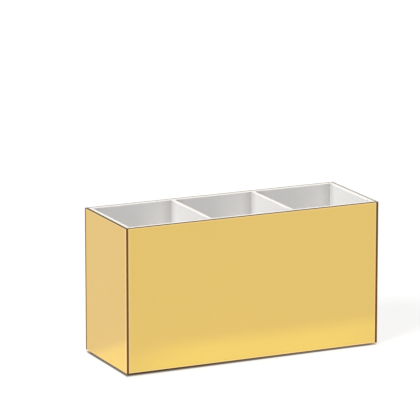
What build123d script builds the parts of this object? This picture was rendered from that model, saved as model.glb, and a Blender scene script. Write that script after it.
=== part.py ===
"""Open-topped three-compartment box of glued acrylic sheet.

A white carcass of laser-cut sheets, located by tabs in slots, is clad on its four sides with
gold-tinted mirror sheet and stands on four small rubber feet. Millimetres, +Z up, X along the
length, the front at -Y, and the origin on the surface it stands on, below the middle of the box.
"""

import os

from build123d import *

# Outside of the box, without its feet
length = 216.0
depth = 79.0
height = 114.0

# Sheets and films
mirror_sheet = 1.8
adhesive_film = 0.15
wall_sheet = 3.0
divider_sheet = 3.0
base_sheet = 3.0

compartments = 3

# Laser-cut joints of the carcass
tab_length = 20.0
joint_clearance = 0.05

# Broken edges of the sheets
mirror_chamfer = 0.25
rim_chamfer = 0.3

# Setback of the adhesive film from the edges of the sheets that it bonds
film_setback = 1.0

# Round stick-on feet
foot_diameter = 8.0
foot_height = 1.5
foot_round = 0.5
foot_inset = 14.0

# Levels above the surface
bottom = foot_height
top = bottom + height
middle = (bottom + top) / 2
floor_top = bottom + base_sheet
divider_height = top - floor_top

# The carcass inside its cladding
cladding = mirror_sheet + adhesive_film
carcass_length = length - 2 * cladding
carcass_depth = depth - 2 * cladding
inner_length = carcass_length - 2 * wall_sheet
inner_depth = carcass_depth - 2 * wall_sheet

# Equal compartments, and the dividers between them
dividers = compartments - 1
divider_pitch = (inner_length + divider_sheet) / compartments

# Slots and notches, each a clearance larger than its tab all round
slot_length = tab_length + 2 * joint_clearance
divider_slot = divider_sheet + 2 * joint_clearance
wall_slot = wall_sheet + 2 * joint_clearance
notch_height = base_sheet + joint_clearance

os.makedirs("parts", exist_ok=True)


def save(piece, name):
    """Labels a finished piece and writes it under its name."""
    piece.part.label = name
    export_step(piece.part, f"parts/{name}.step")


def base_panel():
    """Floor of all compartments, with a tab into each wall and a slot below each divider."""
    with BuildPart() as panel:
        with BuildSketch(Plane.XY.offset(bottom)):
            Rectangle(inner_length, inner_depth)
            with GridLocations(divider_pitch, inner_depth + wall_sheet, compartments, 2):
                Rectangle(tab_length, wall_sheet)
            with GridLocations(inner_length + wall_sheet, 0, 2, 1):
                Rectangle(wall_sheet, tab_length)
            with GridLocations(divider_pitch, 0, dividers, 1):
                Rectangle(divider_slot, slot_length, mode=Mode.SUBTRACT)
        extrude(amount=base_sheet)
    save(panel, "base_panel")


def long_wall(name, plane, inward):
    """Front or rear wall of the carcass, with the edge of its rim inside the box broken."""
    with BuildPart() as wall:
        with BuildSketch(plane):
            with Locations((0, middle)):
                Rectangle(carcass_length, height)
                with GridLocations(inner_length + wall_sheet, 0, 2, 1):
                    Rectangle(wall_slot, slot_length, mode=Mode.SUBTRACT)
                with GridLocations(divider_pitch, 0, dividers, 1):
                    Rectangle(divider_slot, slot_length, mode=Mode.SUBTRACT)
            with Locations((0, bottom)):
                with GridLocations(divider_pitch, 0, compartments, 1):
                    Rectangle(
                        slot_length,
                        notch_height,
                        align=(Align.CENTER, Align.MIN),
                        mode=Mode.SUBTRACT,
                    )
        extrude(amount=wall_sheet)
        rim = wall.faces().sort_by(Axis.Z)[-1]
        chamfer(rim.edges().filter_by(Axis.X).sort_by(inward)[-1], length=rim_chamfer)
    save(wall, name)


def end_wall(name, plane, inward):
    """Left or right wall, held between the long walls by a tab at each upright edge."""
    with BuildPart() as wall:
        with BuildSketch(plane):
            with Locations((0, middle)):
                Rectangle(inner_depth, height)
                with GridLocations(inner_depth + wall_sheet, 0, 2, 1):
                    Rectangle(wall_sheet, tab_length)
            with Locations((0, bottom)):
                Rectangle(
                    slot_length,
                    notch_height,
                    align=(Align.CENTER, Align.MIN),
                    mode=Mode.SUBTRACT,
                )
        extrude(amount=wall_sheet)
        rim = wall.faces().sort_by(Axis.Z)[-1]
        chamfer(rim.edges().filter_by(Axis.Y).sort_by(inward)[-1], length=rim_chamfer)
    save(wall, name)


def divider(name, x):
    """Upright sheet across the box, centred at x, with tabs into both long walls and the base."""
    with BuildPart() as sheet:
        with BuildSketch(Plane.YZ.offset(x - divider_sheet / 2)):
            with Locations((0, top)):
                Rectangle(inner_depth, divider_height, align=(Align.CENTER, Align.MAX))
            with Locations((0, middle)):
                Rectangle(carcass_depth, tab_length)
            with Locations((0, bottom)):
                Rectangle(tab_length, base_sheet, align=(Align.CENTER, Align.MIN))
        extrude(amount=divider_sheet)
        rim = sheet.faces().sort_by(Axis.Z)[-1]
        chamfer(rim.edges().filter_by(Axis.Y), length=rim_chamfer)
    save(sheet, name)


def mirror_panel(name, plane, width, outward, centre=0.0):
    """Mirror sheet as high as the box, with the edges of its outside face broken."""
    with BuildPart() as panel:
        with BuildSketch(plane):
            with Locations((centre, middle)):
                Rectangle(width, height)
        extrude(amount=mirror_sheet)
        face = panel.faces().sort_by(outward)[-1]
        chamfer(face.edges(), length=mirror_chamfer)
    save(panel, name)


def mirror_adhesive(name, plane, width):
    """Film that bonds a mirror panel to the wall behind it."""
    with BuildPart() as film:
        with BuildSketch(plane):
            with Locations((0, middle)):
                Rectangle(width - 2 * film_setback, height - 2 * film_setback)
        extrude(amount=adhesive_film)
    save(film, name)


def foot(name, x, y):
    """Round rubber pad under the base panel, rounded where it meets the surface."""
    with BuildPart() as pad:
        with BuildSketch():
            with Locations((x, y)):
                Circle(foot_diameter / 2)
        extrude(amount=foot_height)
        fillet(pad.edges().sort_by(Axis.Z)[0], radius=foot_round)
    save(pad, name)


# The white carcass. Plane.XZ faces the front, so its offsets run towards -Y
base_panel()
long_wall("front_wall", Plane.XZ.offset(inner_depth / 2), Axis.Y)
long_wall("rear_wall", Plane.XZ.offset(-carcass_depth / 2), -Axis.Y)
end_wall("left_end_wall", Plane.YZ.offset(-carcass_length / 2), Axis.X)
end_wall("right_end_wall", Plane.YZ.offset(inner_length / 2), -Axis.X)
for number, place in enumerate(GridLocations(divider_pitch, 0, dividers, 1), start=1):
    divider(f"divider_{number}", place.position.X)

# The mirror cladding: the side panels cover the ends of the front panel, and the rear panel
# covers the ends of the side panels
front_width = length - 2 * mirror_sheet
side_width = depth - mirror_sheet
side_centre = -mirror_sheet / 2
front_plane = Plane.XZ.offset(depth / 2 - mirror_sheet)
rear_plane = Plane.XZ.offset(-depth / 2)
left_plane = Plane.YZ.offset(-length / 2)
right_plane = Plane.YZ.offset(length / 2 - mirror_sheet)
mirror_panel("front_mirror_panel", front_plane, front_width, -Axis.Y)
mirror_panel("rear_mirror_panel", rear_plane, length, Axis.Y)
mirror_panel("left_mirror_panel", left_plane, side_width, -Axis.X, side_centre)
mirror_panel("right_mirror_panel", right_plane, side_width, Axis.X, side_centre)

# The films between the cladding and the carcass
mirror_adhesive("front_mirror_adhesive", Plane.XZ.offset(carcass_depth / 2), carcass_length)
mirror_adhesive(
    "rear_mirror_adhesive", Plane.XZ.offset(-carcass_depth / 2 - adhesive_film), carcass_length
)
mirror_adhesive(
    "left_mirror_adhesive", Plane.YZ.offset(-carcass_length / 2 - adhesive_film), carcass_depth
)
mirror_adhesive("right_mirror_adhesive", Plane.YZ.offset(carcass_length / 2), carcass_depth)

# The feet
foot_x = length / 2 - foot_inset
foot_y = depth / 2 - foot_inset
for row, y in (("front", -foot_y), ("rear", foot_y)):
    for end, x in (("left", -foot_x), ("right", foot_x)):
        foot(f"foot_{row}_{end}", x, y)
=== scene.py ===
"""Looks, light and camera for the makeup brush holder.

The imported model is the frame: metres, +Z up, X along the length, the front at -Y and the floor at
z = 0. Every node of it keeps its shape here and gets a material.
"""

import math
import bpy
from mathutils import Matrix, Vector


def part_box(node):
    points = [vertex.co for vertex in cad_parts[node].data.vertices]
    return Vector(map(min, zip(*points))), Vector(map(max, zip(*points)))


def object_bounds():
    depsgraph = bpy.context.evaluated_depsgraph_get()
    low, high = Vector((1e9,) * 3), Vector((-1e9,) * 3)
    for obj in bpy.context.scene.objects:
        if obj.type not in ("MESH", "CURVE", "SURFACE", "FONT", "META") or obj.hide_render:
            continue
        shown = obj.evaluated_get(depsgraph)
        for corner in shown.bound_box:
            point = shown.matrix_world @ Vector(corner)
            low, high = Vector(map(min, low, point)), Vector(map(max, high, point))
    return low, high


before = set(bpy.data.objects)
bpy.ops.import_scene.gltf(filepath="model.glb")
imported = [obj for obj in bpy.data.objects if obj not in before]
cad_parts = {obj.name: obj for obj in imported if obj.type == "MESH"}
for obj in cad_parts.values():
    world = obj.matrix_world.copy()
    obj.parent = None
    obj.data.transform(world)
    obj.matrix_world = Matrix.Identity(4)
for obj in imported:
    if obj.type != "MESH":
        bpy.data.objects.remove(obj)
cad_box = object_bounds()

from types import SimpleNamespace

import bpy
from mathutils import Vector

MM = 0.001
X, Y, Z = (1.0, 0.0, 0.0), (0.0, 1.0, 0.0), (0.0, 0.0, 1.0)
UNLIT = (0.0, 0.0, 0.0)
PURE_WHITE = (1.0, 1.0, 1.0)

# The camera, as fitted to the edges of the box in the photograph. The aim is an offset from the
# middle of the box, to the right and up as the camera sees it. The field is the width that the
# picture takes in at a distance of 1.
CAMERA_AZIMUTH = math.radians(-25.51)
CAMERA_ELEVATION = math.radians(14.20)
CAMERA_DISTANCE = 2.80
CAMERA_FIELD = 420.0 / 3577.0
CAMERA_AIM = (-0.01738, 0.05130)
CAMERA_SENSOR = 36.0
CAMERA_CLIP = (0.1, 40.0)

# The light. Shares are those of the light on a level surface, and together they make 1, so that a
# colour renders about as it is written.
KEY_AZIMUTH = math.radians(-66.0)
KEY_ELEVATION = math.radians(43.0)
KEY_ANGLE = math.radians(22.0)
KEY_SHARE = 0.65
SKY_SHARE = 1.0 - KEY_SHARE

# The floor. It lights the box with FLOOR_COLOUR. Where it is seen it is FLOOR_WHITE, or 1 in a
# reflection. FLOOR_SHADED of that is lit and takes the cast shadow, and the rest is its own.
FLOOR_RADIUS = 14.0
FLOOR_POINTS = 64
FLOOR_COLOUR = 0.85
FLOOR_WHITE = 1.05
FLOOR_SHADED = 0.20

# The shadow below the box reaches so far out in front, from the left end of the box to the right
# one, and so many times less far on the other sides. A faint skirt of it reaches further.
CONTACT = (4.2 * MM, 0.4 * MM)
CONTACT_STRETCH = 3.2
SKIRT = 16.0 * MM
SKIRT_SHARE = 0.14

# The floor's own light below the box, at its left and right ends. Near the right and rear sides,
# where the gap is open to the light, it is paler and the shadow reaches less far out.
GAP_LIGHT = ((0.07, 0.04, 0.01), (0.20, 0.15, 0.10))
GAP_END = 7.0 * MM
GAP_END_LIGHT = (0.55, 0.38, 0.20)
GAP_END_CONTACT = 0.1

# Light that the front and left faces throw on the floor. Each patch of it reaches so far out from
# its face and drifts so far along the face per metre out. Its far edge is blurred, its sides are
# soft, and its end stops short of the face's end.
THROWN = (0.14, 0.17, 0.0)
FRONT_PATCH = {"reach": 66 * MM, "blur": 26 * MM, "drift": 0.9, "soft": 50 * MM, "short": 0.0}
LEFT_PATCH = {"reach": 118 * MM, "blur": 22 * MM, "drift": 0.55, "soft": 14 * MM, "short": 11 * MM}

# Every noise below is the size of its patches, its detail and its roughness. A pair is the two
# ends of a range, and MIDDLE is the range that most values of a noise lie in.
MIDDLE = (0.3, 0.7)
ACRYLIC_IOR = 1.49
LINE_STRETCH = 0.05
CLOUD_DIM = 0.985

# Mirror sheet. Colours are linear. Its face has painted highlights, a paler tint along some edges:
# each highlight line has a width and a share, and its core is the part of the width at full
# strength.
# The same pale tint colours the laser lines. A broken edge, or arris, is dark along the top. The
# rim is the cut edge that faces up.
MIRROR = SimpleNamespace(
    gold=(0.775, 0.533, 0.128),
    edge_tint=(0.925, 0.72, 0.45),
    painted_highlight_and_line_tint=(0.96, 0.69, 0.34),
    painted_highlight_rim=(1.6 * MM, 0.4),
    painted_highlight_foot=(1.2 * MM, 1.0),
    painted_highlight_end=(2.6 * MM, 1.0),
    painted_highlight_butt=(1.6 * MM, 0.4),
    painted_highlight_core=0.4,
    arris=(0.72, 0.46, 0.14),
    arris_top=(0.10, 0.06, 0.015),
    amber=(0.175, 0.058, 0.009),
    amber_rim=(0.11, 0.08, 0.02),
    backing=(0.08, 0.06, 0.045),
    backing_edge=(0.05 * MM, 0.20 * MM),
    coat_rough=0.02,
    dull_rim=0.1,
    glossy_rim=1.0,
    cloud=(60 * MM, 3.0),
    lines=(0.35 * MM, 2.0, 0.6),
    line_share=0.06,
    line_depth=0.02 * MM,
    cut_rough=(0.22, 0.34),
    smudge=(18 * MM, 4.0, 0.65),
    smudged=(0.45, 0.75),
    smudge_rough=(0.025, 0.05),
    dust=(0.6 * MM, 1.0),
    dusty=(0.7, 0.8),
    dust_rough=0.06,
    waves=(45 * MM, 1.0),
    wave_height=0.10 * MM,
)

# How far a surface faces out, or up for the rim, between where it starts to count and fully does
FACE_SPAN = (0.90, 0.98)
ARRIS_SPAN = (0.30, 0.60)
RIM_SPAN = (0.80, 0.95)

# White sheet. Painted shade darkens its faces by a share towards an inside corner, and the cement
# in the corner is a dark line of the same colour.
SHEET = SimpleNamespace(
    white=(0.86, 0.847, 0.834),
    cut=(0.95, 0.90, 0.82),
    cut_span=(0.4, 0.8),
    cut_rough=(0.16, 0.28),
    painted_shade_and_cement=(0.20, 0.19, 0.18),
    corner=10.0 * MM,
    painted_shade_share=0.26,
    cement=0.12 * MM,
    cement_core=0.5,
    cement_share=0.30,
    cloud=(35 * MM, 3.0),
    lines=(0.4 * MM, 2.0, 0.6),
    line_depth=0.015 * MM,
    speck=(0.5 * MM, 0.0),
    specked=(0.78, 0.82),
    speck_share=0.10,
    speck_colour=(0.55, 0.52, 0.48),
    smudge=(15 * MM, 4.0, 0.65),
    smudged=(0.4, 0.75),
    smudge_rough=(0.08, 0.16),
    waves=(22 * MM, 1.0),
    wave_height=0.06 * MM,
)

FILM = SimpleNamespace(
    colour=(0.62, 0.60, 0.56),
    cloud=(12 * MM, 3.0),
    cloud_dim=0.92,
    rough=(0.55, 0.68),
    bubble_spacing=2.5 * MM,
    bubble_span=(0.10, 0.18),
    bubble_share=0.5,
    bubble_colour=(0.8, 0.79, 0.77),
    bubble_height=0.02 * MM,
)

RUBBER = SimpleNamespace(
    colour=(0.30, 0.30, 0.30),
    ior=1.52,
    bloom=(3 * MM, 3.0),
    bloomed=(0.4, 0.7),
    bloom_gain=1.15,
    grain=(0.25 * MM, 3.0, 0.6),
    grain_height=0.02 * MM,
    rough=(0.42, 0.58),
)


def scaled(colour, factor):
    return tuple(factor * part for part in colour)


class Shader:
    """The node tree of a material or world, with one call for each kind of node."""

    def __init__(self, owner):
        owner.use_nodes = True
        self.owner = owner
        self.tree = owner.node_tree
        self.tree.nodes.clear()

    def node(self, kind, inputs=None, **settings):
        made = self.tree.nodes.new(kind)
        for name, value in settings.items():
            setattr(made, name, value)
        for socket, value in (inputs or {}).items():
            self.put(made.inputs[socket], value)
        return made

    def put(self, socket, value):
        if isinstance(value, bpy.types.NodeSocket):
            self.tree.links.new(value, socket)
        elif socket.type == "RGBA":
            socket.default_value = (*value, 1.0)
        else:
            socket.default_value = value

    def math(self, operation, *values):
        made = self.node("ShaderNodeMath", operation=operation)
        for socket, value in zip(made.inputs, values):
            self.put(socket, value)
        return made.outputs[0]

    def ramp(self, value, low, high, start=0.0, end=1.0):
        """Value taken smoothly from low..high to start..end."""
        made = self.node("ShaderNodeMapRange", {0: value, 1: low, 2: high, 3: start, 4: end})
        made.interpolation_type = "SMOOTHSTEP"
        return made.outputs[0]

    def mix(self, share, first, second):
        """Colour from first to second."""
        made = self.node("ShaderNodeMix", data_type="RGBA")
        for socket, value in ((0, share), (6, first), (7, second)):
            self.put(made.inputs[socket], value)
        return made.outputs[2]

    def blend(self, share, first, second):
        """Number from first to second."""
        return self.node("ShaderNodeMix", {0: share, 2: first, 3: second}).outputs[0]

    def place(self, stretch=(1.0, 1.0, 1.0)):
        """Place on the object in metres, stretched."""
        where = self.node("ShaderNodeTexCoord").outputs["Object"]
        made = self.node("ShaderNodeMapping", {"Vector": where, "Scale": stretch})
        return made.outputs[0]

    def noise(self, size, detail, rough=0.5, stretch=(1.0, 1.0, 1.0)):
        """Noise with patches about so many metres across."""
        made = self.node(
            "ShaderNodeTexNoise",
            {
                "Vector": self.place(stretch),
                "Scale": 1.0 / size,
                "Detail": detail,
                "Roughness": rough,
            },
        )
        return made.outputs[0]

    def part_along(self, vector, axis):
        made = self.node("ShaderNodeVectorMath", {0: vector, 1: axis}, operation="DOT_PRODUCT")
        return made.outputs["Value"]

    def facing(self, axis):
        """How far the surface faces along an axis, from -1 to 1."""
        return self.part_along(self.node("ShaderNodeNewGeometry").outputs["Normal"], axis)

    def along(self, axis):
        """Place along an axis of the object, in metres."""
        return self.part_along(self.node("ShaderNodeTexCoord").outputs["Object"], axis)

    def nearest(self, planes):
        """Distance to the nearest of some planes, each an axis and a place along it."""
        least = None
        for axis, place in planes:
            gap = self.math("ABSOLUTE", self.math("SUBTRACT", self.along(axis), place))
            least = gap if least is None else self.math("MINIMUM", least, gap)
        return least

    def laser_lines(self, across, lines):
        """Fine lines on a cut edge, straight across a sheet with its thickness along that axis."""
        stretch = tuple(LINE_STRETCH if part else 1.0 for part in across)
        return self.noise(*lines, stretch=stretch)

    def bump(self, height, distance, under=None):
        inputs = {"Height": height, "Distance": distance, "Strength": 1.0}
        if under is not None:
            inputs["Normal"] = under
        return self.node("ShaderNodeBump", inputs).outputs[0]

    def surface(self, shader):
        """Ends the tree with a shader's output, and gives the material or world it belongs to."""
        world = isinstance(self.owner, bpy.types.World)
        output = self.node("ShaderNodeOutputWorld" if world else "ShaderNodeOutputMaterial")
        self.tree.links.new(shader.outputs[0], output.inputs["Surface"])
        return self.owner

    def principled(self, inputs):
        return self.surface(self.node("ShaderNodeBsdfPrincipled", inputs))


def new_shader(name):
    return Shader(bpy.data.materials.new(name))


def gold_mirror(name, outward, back, painted_highlight_edges, rim_gloss):
    """Gold-tinted mirror sheet that faces outward, with its back at that distance along outward.

    Painted highlights make its tint paler along edges, each an axis, a place along it, a width and
    a share.
    The rim is a dull or glossy cut edge.
    """
    s = new_shader(name)
    facing = s.facing(outward)
    face = s.ramp(facing, *FACE_SPAN)
    arris = s.ramp(facing, *ARRIS_SPAN)
    upward = s.facing(Z)
    rim = s.ramp(upward, *RIM_SPAN)

    # Faint clouding of the tint, and painted highlights: a paler tint along edges, where light
    # enters the sheet
    cloud = s.ramp(s.noise(*MIRROR.cloud), *MIDDLE)
    tint = s.mix(cloud, MIRROR.gold, scaled(MIRROR.gold, CLOUD_DIM))
    for axis, place, (width, share) in painted_highlight_edges:
        gap = s.nearest([(axis, place)])
        near = s.ramp(gap, MIRROR.painted_highlight_core * width, width, share, 0.0)
        tint = s.mix(near, tint, MIRROR.painted_highlight_and_line_tint)

    # Cut edge and arris: laser lines across the sheet, and the dark backing at its inner side
    into = s.math("SUBTRACT", s.along(outward), back)
    backing = s.ramp(into, *MIRROR.backing_edge, 1.0, 0.0)
    lines = s.laser_lines(outward, MIRROR.lines)
    amber = s.mix(rim, MIRROR.amber, MIRROR.amber_rim)
    amber = s.mix(s.ramp(lines, *MIDDLE, 0.0, MIRROR.line_share), amber, MIRROR.painted_highlight_and_line_tint)
    amber = s.mix(backing, amber, MIRROR.backing)
    gold_arris = s.mix(s.ramp(upward, *ARRIS_SPAN), MIRROR.arris, MIRROR.arris_top)
    colour = s.mix(face, s.mix(arris, amber, gold_arris), tint)

    smudges = s.ramp(s.noise(*MIRROR.smudge), *MIRROR.smudged, *MIRROR.smudge_rough)
    dust = s.ramp(s.noise(*MIRROR.dust), *MIRROR.dusty, 0.0, MIRROR.dust_rough)
    rough_cut = s.ramp(lines, *MIDDLE, *MIRROR.cut_rough)
    rough = s.blend(arris, rough_cut, s.math("ADD", smudges, dust))

    waves = s.bump(s.noise(*MIRROR.waves), MIRROR.wave_height)
    cut = s.math("MULTIPLY", lines, s.math("SUBTRACT", 1.0, arris))
    cut_gloss = s.ramp(rim, 0.0, 1.0, MIRROR.dull_rim, rim_gloss)
    return s.principled(
        {
            "Base Color": colour,
            "Metallic": arris,
            "Roughness": rough,
            "IOR": ACRYLIC_IOR,
            "Specular IOR Level": 0.0,
            "Specular Tint": MIRROR.edge_tint,
            "Normal": s.bump(cut, MIRROR.line_depth, waves),
            "Coat Weight": s.math("MAXIMUM", arris, cut_gloss),
            "Coat Roughness": MIRROR.coat_rough,
            "Coat IOR": ACRYLIC_IOR,
        }
    )


def white_sheet(name, across, corners):
    """White acrylic sheet with its thickness along one axis, and other sheets cemented to it.

    It meets them in the corners, which are planes. Painted shade darkens its faces towards them,
    and cement lines them.
    """
    s = new_shader(name)
    cut = s.ramp(s.math("ABSOLUTE", s.facing(across)), *SHEET.cut_span, 1.0, 0.0)
    lines = s.laser_lines(across, SHEET.lines)

    cloud = s.ramp(s.noise(*SHEET.cloud), *MIDDLE)
    cast = s.mix(cloud, SHEET.white, scaled(SHEET.white, CLOUD_DIM))
    specks = s.ramp(s.noise(*SHEET.speck), *SHEET.specked)
    cast = s.mix(s.math("MULTIPLY", specks, SHEET.speck_share), cast, SHEET.speck_colour)
    # Painted shade towards the inside corners, and the cement there as a dark line
    gap = s.nearest(corners)
    shade = s.ramp(gap, 0.0, SHEET.corner, SHEET.painted_shade_share, 0.0)
    cast = s.mix(shade, cast, SHEET.painted_shade_and_cement)
    colour = s.mix(cut, cast, SHEET.cut)
    cement_core = SHEET.cement_core * SHEET.cement
    cement = s.ramp(gap, cement_core, SHEET.cement, SHEET.cement_share, 0.0)
    colour = s.mix(cement, colour, SHEET.painted_shade_and_cement)

    polish = s.ramp(s.noise(*SHEET.smudge), *SHEET.smudged, *SHEET.smudge_rough)
    rough_cut = s.ramp(lines, *MIDDLE, *SHEET.cut_rough)

    waves = s.bump(s.noise(*SHEET.waves), SHEET.wave_height)
    return s.principled(
        {
            "Base Color": colour,
            "Roughness": s.blend(cut, polish, rough_cut),
            "IOR": ACRYLIC_IOR,
            "Normal": s.bump(s.math("MULTIPLY", lines, cut), SHEET.line_depth, waves),
        }
    )


def bonding_film(name):
    """Clear-grey bonding film with small trapped bubbles."""
    s = new_shader(name)
    cells = {"Vector": s.place(), "Scale": 1.0 / FILM.bubble_spacing}
    distance = s.node("ShaderNodeTexVoronoi", cells).outputs["Distance"]
    bubble = s.ramp(distance, *FILM.bubble_span, 1.0, 0.0)
    cloud = s.ramp(s.noise(*FILM.cloud), *MIDDLE)
    colour = s.mix(cloud, FILM.colour, scaled(FILM.colour, FILM.cloud_dim))
    colour = s.mix(s.math("MULTIPLY", bubble, FILM.bubble_share), colour, FILM.bubble_colour)
    return s.principled(
        {
            "Base Color": colour,
            "Roughness": s.ramp(cloud, 0.0, 1.0, *FILM.rough),
            "Normal": s.bump(bubble, FILM.bubble_height),
        }
    )


def foot_rubber(name):
    """Moulded rubber with a fine grain and a dusty bloom."""
    s = new_shader(name)
    grain = s.noise(*RUBBER.grain)
    bloom = s.ramp(s.noise(*RUBBER.bloom), *RUBBER.bloomed)
    return s.principled(
        {
            "Base Color": s.mix(bloom, RUBBER.colour, scaled(RUBBER.colour, RUBBER.bloom_gain)),
            "Roughness": s.ramp(grain, *MIDDLE, *RUBBER.rough),
            "IOR": RUBBER.ior,
            "Normal": s.bump(grain, RUBBER.grain_height),
        }
    )


def dress(node, material):
    """Gives a CAD node its material."""
    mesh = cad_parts[node].data
    mesh.materials.clear()
    mesh.materials.append(material)


def dress_mirrors():
    """The four mirror panels, with painted highlights along their edges, fainter along those that
    butt.
    """
    for side, outward, rim_gloss in (
        ("front", (0.0, -1.0, 0.0), MIRROR.dull_rim),
        ("rear", (0.0, 1.0, 0.0), MIRROR.glossy_rim),
        ("left", (-1.0, 0.0, 0.0), MIRROR.dull_rim),
        ("right", (1.0, 0.0, 0.0), MIRROR.glossy_rim),
    ):
        low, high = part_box(f"{side}_mirror_panel")
        back = min(low.dot(Vector(outward)), high.dot(Vector(outward)))
        # Painted highlights along the foot, the rim and the ends of each panel
        painted_highlight_edges = [(Z, low.z, MIRROR.painted_highlight_foot), (Z, high.z, MIRROR.painted_highlight_rim)]
        if side == "rear":
            painted_highlight_edges += [(X, low.x, MIRROR.painted_highlight_end), (X, high.x, MIRROR.painted_highlight_end)]
        elif side == "front":
            painted_highlight_edges += [(X, low.x, MIRROR.painted_highlight_butt), (X, high.x, MIRROR.painted_highlight_butt)]
        else:
            painted_highlight_edges += [(Y, low.y, MIRROR.painted_highlight_end)]
        mirror = gold_mirror(f"gold_mirror_{side}", outward, back, painted_highlight_edges, rim_gloss)
        dress(f"{side}_mirror_panel", mirror)


def dress_carcass():
    """The white sheets. The faces of some are the planes of the others' inside corners."""
    across = ("left_end_wall", "divider_1", "divider_2", "right_end_wall")
    along = ("front_wall", "rear_wall")
    ends = [(X, corner.x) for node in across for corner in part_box(node)][1:-1]
    sides = [(Y, corner.y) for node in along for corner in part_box(node)][1:-1]
    ground = [(Z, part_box("base_panel")[1].z)]
    for axis_name, axis, nodes, corners in (
        ("x", X, across, sides + ground),
        ("y", Y, along, ends + ground),
        ("z", Z, ("base_panel",), ends + sides),
    ):
        acrylic = white_sheet(f"white_acrylic_{axis_name}", axis, corners)
        for node in nodes:
            dress(node, acrylic)


def dress_films_and_feet():
    film = bonding_film("bonding_film")
    for side in ("front", "rear", "left", "right"):
        dress(f"{side}_mirror_adhesive", film)
    rubber = foot_rubber("foot_rubber")
    for row in ("front", "rear"):
        for end in ("left", "right"):
            dress(f"foot_{row}_{end}", rubber)


def shown(s):
    """1 for a ray that shows the background: from the camera, a reflection or through glass."""
    path = s.node("ShaderNodeLightPath").outputs
    rays = s.math("MAXIMUM", path["Is Camera Ray"], path["Is Glossy Ray"])
    return s.math("MAXIMUM", rays, path["Is Transmission Ray"])


def clear_of_box(s, x, y, open_end):
    """How clear of the box the floor is: 0 below it and 1 where its shadow has ended."""
    low, high = cad_box
    beside = s.math("MAXIMUM", s.math("SUBTRACT", low[0], x), s.math("SUBTRACT", x, high[0]))
    beside = s.math("MAXIMUM", beside, s.math("SUBTRACT", y, high[1]))
    beside = s.math("MULTIPLY", beside, CONTACT_STRETCH)
    beyond = s.math("MAXIMUM", beside, s.math("SUBTRACT", low[1], y))
    contact = s.ramp(x, low[0], high[0], *CONTACT)
    contact = s.math("MULTIPLY", contact, s.ramp(open_end, 0.0, 1.0, 1.0, GAP_END_CONTACT))
    return s.math(
        "MULTIPLY",
        s.ramp(beyond, 0.0, contact),
        s.ramp(beyond, 0.0, SKIRT, 1.0 - SKIRT_SHARE, 1.0),
    )


def patch(s, out, along, low, high, reach, blur, drift, soft, short):
    """Share of thrown light at a place out from a face and along it, from low to high."""
    moved = s.math("SUBTRACT", along, s.math("MULTIPLY", out, drift))
    start = s.ramp(moved, low - soft, low + soft)
    end = s.ramp(moved, high - short - soft, high - short + soft, 1.0, 0.0)
    near = s.ramp(out, reach - blur, reach + blur, 1.0, 0.0)
    outside = s.math("GREATER_THAN", out, 0.0)
    return s.math("MULTIPLY", s.math("MULTIPLY", start, end), s.math("MULTIPLY", near, outside))


def thrown_light(s, x, y, clear):
    """Colour of the light that the front and left faces throw on the floor."""
    low, high = cad_box
    before_front = s.math("SUBTRACT", low[1], y)
    beside_left = s.math("SUBTRACT", low[0], x)
    front = patch(s, before_front, x, low[0], high[0], **FRONT_PATCH)
    left = patch(s, beside_left, y, low[1], high[1], **LEFT_PATCH)
    share = s.math("MULTIPLY", s.math("MAXIMUM", front, left), clear)
    return s.mix(share, UNLIT, THROWN)


def floor_material():
    """Pale floor. Where it shows, most of its white is its own, so cast shadows are faint.

    Below the box its own light is dim and brown, and the light that the faces throw shows in
    reflections alone.
    """
    s = new_shader("floor")
    low, high = cad_box
    seen = shown(s)
    direct = s.node("ShaderNodeLightPath").outputs["Is Camera Ray"]
    x, y = s.node("ShaderNodeSeparateXYZ", {0: s.place()}).outputs[:2]
    right_end = s.ramp(x, high[0] - GAP_END, high[0])
    rear_end = s.ramp(y, high[1] - GAP_END, high[1])
    open_end = s.math("MAXIMUM", right_end, rear_end)
    clear = clear_of_box(s, x, y, open_end)

    gap_light = s.mix(s.ramp(x, low[0], high[0]), *GAP_LIGHT)
    gap_light = s.mix(open_end, gap_light, GAP_END_LIGHT)
    own_colour = s.mix(clear, gap_light, PURE_WHITE)
    own = s.math("SUBTRACT", s.blend(direct, 1.0, FLOOR_WHITE), FLOOR_SHADED)
    glow = s.node("ShaderNodeEmission", {"Color": own_colour, "Strength": own})
    mirrored = s.math("SUBTRACT", 1.0, direct)
    thrown = thrown_light(s, x, y, clear)
    spill = s.node("ShaderNodeEmission", {"Color": thrown, "Strength": mirrored})
    light = s.node("ShaderNodeAddShader", {0: glow.outputs[0], 1: spill.outputs[0]})

    unseen = s.node("ShaderNodeEmission", {"Strength": 0.0})
    shows = s.node("ShaderNodeMixShader", {0: seen, 1: unseen.outputs[0], 2: light.outputs[0]})
    albedo = s.blend(seen, FLOOR_COLOUR, FLOOR_SHADED)
    diffuse = s.node("ShaderNodeBsdfDiffuse", {"Color": albedo})
    return s.surface(s.node("ShaderNodeAddShader", {0: diffuse.outputs[0], 1: shows.outputs[0]}))


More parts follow.
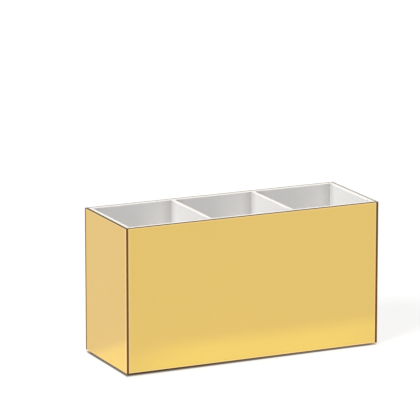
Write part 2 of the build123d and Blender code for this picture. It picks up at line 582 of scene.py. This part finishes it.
def floor():
    mesh = bpy.data.meshes.new("floor")
    turns = [2 * math.pi * i / FLOOR_POINTS for i in range(FLOOR_POINTS)]
    rim = [(FLOOR_RADIUS * math.cos(t), FLOOR_RADIUS * math.sin(t), 0.0) for t in turns]
    mesh.from_pydata(rim, [], [range(FLOOR_POINTS)])
    mesh.materials.append(floor_material())
    disc = bpy.data.objects.new("floor", mesh)
    bpy.context.scene.collection.objects.link(disc)


def sky():
    """Even white light all round, which shows as white."""
    s = Shader(bpy.data.worlds.new("studio"))
    strength = s.blend(shown(s), SKY_SHARE, 1.0)
    light = s.node("ShaderNodeBackground", {"Color": PURE_WHITE, "Strength": strength})
    bpy.context.scene.world = s.surface(light)


def direction(azimuth, elevation):
    """Unit vector towards a place round the box, azimuth 0 in front and positive to the right."""
    level = math.cos(elevation)
    return Vector(
        (math.sin(azimuth) * level, -math.cos(azimuth) * level, math.sin(elevation))
    )


def key_light():
    """Soft key from the front left."""
    lamp = bpy.data.lights.new("key", "SUN")
    lamp.angle = KEY_ANGLE
    lamp.energy = math.pi * KEY_SHARE / math.sin(KEY_ELEVATION)
    key = bpy.data.objects.new("key", lamp)
    key.rotation_mode = "QUATERNION"
    key.rotation_quaternion = direction(KEY_AZIMUTH, KEY_ELEVATION).to_track_quat("Z", "Y")
    bpy.context.scene.collection.objects.link(key)


def camera():
    """The photograph's camera, round the middle of the box without its feet."""
    low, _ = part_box("front_mirror_panel")
    high = cad_box[1]
    middle = Vector((0.0, 0.0, (low.z + high.z) / 2))
    back = direction(CAMERA_AZIMUTH, CAMERA_ELEVATION)
    right = (-back).cross(Vector(Z)).normalized()
    up = right.cross(-back)
    eye = middle + CAMERA_DISTANCE * back
    aim = middle + CAMERA_AIM[0] * right + CAMERA_AIM[1] * up
    data = bpy.data.cameras.new("camera")
    data.sensor_width = CAMERA_SENSOR
    data.lens = CAMERA_SENSOR / CAMERA_FIELD
    data.clip_start, data.clip_end = CAMERA_CLIP
    made = bpy.data.objects.new("camera", data)
    made.location = eye
    made.rotation_mode = "QUATERNION"
    made.rotation_quaternion = (aim - eye).to_track_quat("-Z", "Y")
    bpy.context.scene.collection.objects.link(made)
    bpy.context.scene.camera = made


dress_mirrors()
dress_carcass()
dress_films_and_feet()
floor()
sky()
key_light()
camera()
bpy.context.scene.view_settings.view_transform = "Standard"
